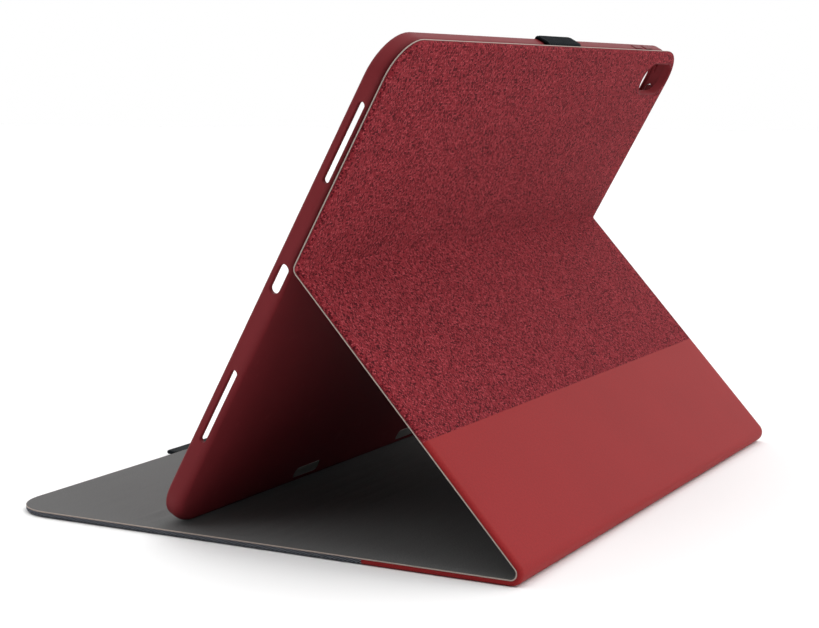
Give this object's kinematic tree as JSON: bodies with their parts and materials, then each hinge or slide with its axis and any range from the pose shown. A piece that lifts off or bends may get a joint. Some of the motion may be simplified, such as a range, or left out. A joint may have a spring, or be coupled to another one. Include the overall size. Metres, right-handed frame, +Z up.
{
  "type": "tablet case",
  "caption": "Folding tablet case standing at an angle: moulded tray with a woven back, a folding stand flap, a flexible spine and a flat lined front cover with a closing tab.",
  "frame": {"origin": "under the middle of the whole case, on the table", "axes": "+X along the spine towards the port side of the tray, +Y towards the spine's bend, +Z up"},
  "size_m": [0.2858, 0.2464, 0.1978],
  "materials": {
    "burgundy_weave": "heathered burgundy woven fabric",
    "smooth_band": "smooth matte red coated leather",
    "grey_lining": "grey brushed microfibre",
    "dark_weave": "dark navy woven fabric with light flecks",
    "dark_strap": "near-black woven strap",
    "moulded_tray": "matte dark red flexible plastic",
    "button_pads": "matte dark red flexible plastic",
    "fibre_board": "plain fibre board",
    "magnet_plating": "dull nickel plate",
    "adhesive": "translucent film"
  },
  "bodies": {
    "front_cover": {"cover_lining": "grey_lining", "cover_board": "fibre_board", "cover_skin": "dark_weave", "cover_band": "smooth_band", "dock_magnets_port_side": "magnet_plating", "dock_magnets_camera_side": "magnet_plating", "wake_magnets": "magnet_plating"},
    "spine": {"bend_hinge": "smooth_band", "spine_lining": "grey_lining", "spine_board": "fibre_board", "spine_band": "smooth_band"},
    "stand_flap": {"flap_hinge": "smooth_band", "crease_hinge": "burgundy_weave", "flap_lining": "grey_lining", "flap_board": "fibre_board", "flap_skin": "burgundy_weave", "flap_band": "smooth_band"},
    "tray": {"shell_tray": "moulded_tray", "shell_magnet_port_side": "magnet_plating", "shell_magnet_camera_side": "magnet_plating", "panel_bond": "adhesive", "panel_lining": "grey_lining", "panel_board": "fibre_board", "panel_skin": "burgundy_weave", "pen_loop": "dark_strap"},
    "volume_up": {"volume_up_button": "button_pads"},
    "volume_down": {"volume_down_button": "button_pads"},
    "power": {"power_button": "button_pads"},
    "closing_tab": {"tab_strap": "dark_strap", "tab_magnet": "magnet_plating"}
  },
  "joints": [
    {"name": "spine_fold", "type": "hinge", "parent": "front_cover", "child": "spine", "pos_m": [0, 0.1184, 0.0048], "axis": [-1, 0, 0], "range_deg": [0, 101.8], "deforming": ["bend_hinge"]},
    {"name": "flap_fold", "type": "hinge", "parent": "spine", "child": "stand_flap", "pos_m": [0, 0.11412, 0.01506], "axis": [-1, 0, 0], "range_deg": [0, 30], "deforming": ["flap_hinge"]},
    {"name": "crease_fold", "type": "hinge", "parent": "stand_flap", "child": "tray", "pos_m": [0, 0.03148, 0.10922], "axis": [1, 0, 0], "range_deg": [0, 71.2], "deforming": ["crease_hinge"]},
    {"name": "volume_up_press", "type": "slide", "parent": "tray", "child": "volume_up", "axis": [0, -0.4909, -0.8712], "range_m": [0, 0.0005], "stiffness_N_per_m": 400},
    {"name": "volume_down_press", "type": "slide", "parent": "tray", "child": "volume_down", "axis": [0, -0.4909, -0.8712], "range_m": [0, 0.0005], "stiffness_N_per_m": 400},
    {"name": "power_press", "type": "slide", "parent": "tray", "child": "power", "axis": [1, 0, 0], "range_m": [0, 0.0005], "stiffness_N_per_m": 400},
    {"name": "tab_fold", "type": "hinge", "parent": "front_cover", "child": "closing_tab", "pos_m": [0, -0.1154, 0.0027], "axis": [-1, 0, 0], "range_deg": [0, 100]}
  ],
  "couplings": [
    {"joint": "crease_fold", "follows": "spine_fold", "ratio": 0.6994}
  ]
}
